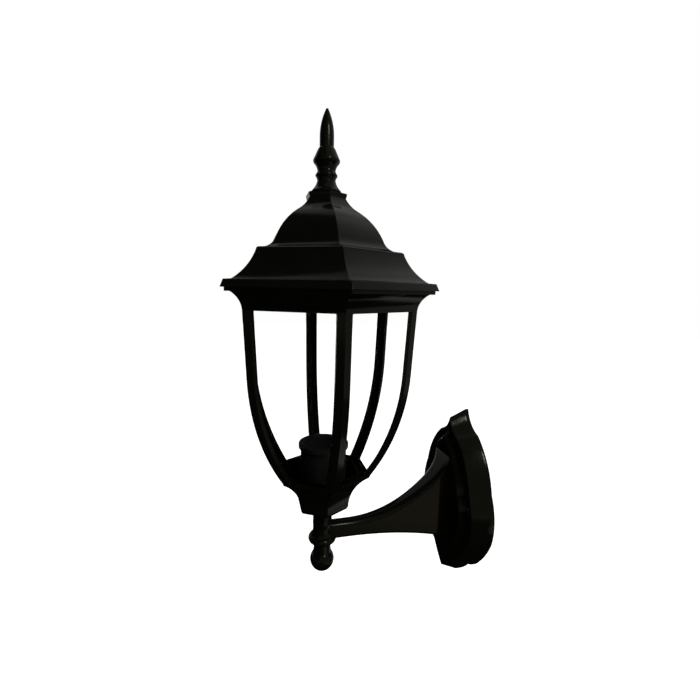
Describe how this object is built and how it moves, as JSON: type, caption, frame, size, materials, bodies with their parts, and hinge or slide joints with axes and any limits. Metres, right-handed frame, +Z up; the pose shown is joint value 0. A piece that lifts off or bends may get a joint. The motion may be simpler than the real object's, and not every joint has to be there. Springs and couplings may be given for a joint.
{
  "type": "wall lantern",
  "caption": "Six-sided cast wall lantern with an ogee roof, bowed glass panes and a finial, standing on a flared bracket arm with a shield-shaped wall plate.",
  "frame": {"origin": "on the wall, midway between the two screws of the wall plate", "axes": "+Z up, +Y into the wall, the lantern stands out along -Y, +X to the side"},
  "size_m": [0.1806, 0.2142, 0.4039],
  "materials": {
    "black_enamel": "gloss black enamel on cast aluminium",
    "clear_glass": "clear, faintly green",
    "black_bakelite": "moulded, satin",
    "brass": "plain",
    "zinc_steel": "zinc plated",
    "porcelain": "glazed porcelain",
    "rubber": "matt"
  },
  "bodies": {
    "lantern": {"roof": "black_enamel", "cage": "black_enamel", "bracket_arm": "black_enamel", "drop_finial": "black_enamel", "wall_plate": "black_enamel", "plate_screws": "black_enamel", "glass_pane_1": "clear_glass", "glass_pane_2": "clear_glass", "glass_pane_3": "clear_glass", "glass_pane_4": "clear_glass", "glass_pane_5": "clear_glass", "glass_pane_6": "clear_glass", "holder_body": "black_bakelite", "holder_cap": "black_bakelite", "screw_shell": "brass", "centre_contact": "brass", "lamp_pipe": "brass", "pipe_nut": "brass", "earth_screw": "brass", "roof_stud": "zinc_steel", "stud_nuts": "zinc_steel", "bridge_bar": "zinc_steel", "bridge_screws": "zinc_steel", "pane_clips": "zinc_steel", "clip_rivets": "zinc_steel", "pipe_washer": "zinc_steel", "arm_screws": "zinc_steel", "mounting_strap": "zinc_steel", "holder_insulator": "porcelain", "finial_washer": "rubber"},
    "finial": {"finial": "black_enamel"}
  },
  "joints": [
    {"name": "finial_turn", "type": "hinge", "parent": "lantern", "child": "finial", "pos_m": [0, -0.136, 0.2577], "axis": [0, 0, 1], "continuous": true}
  ]
}
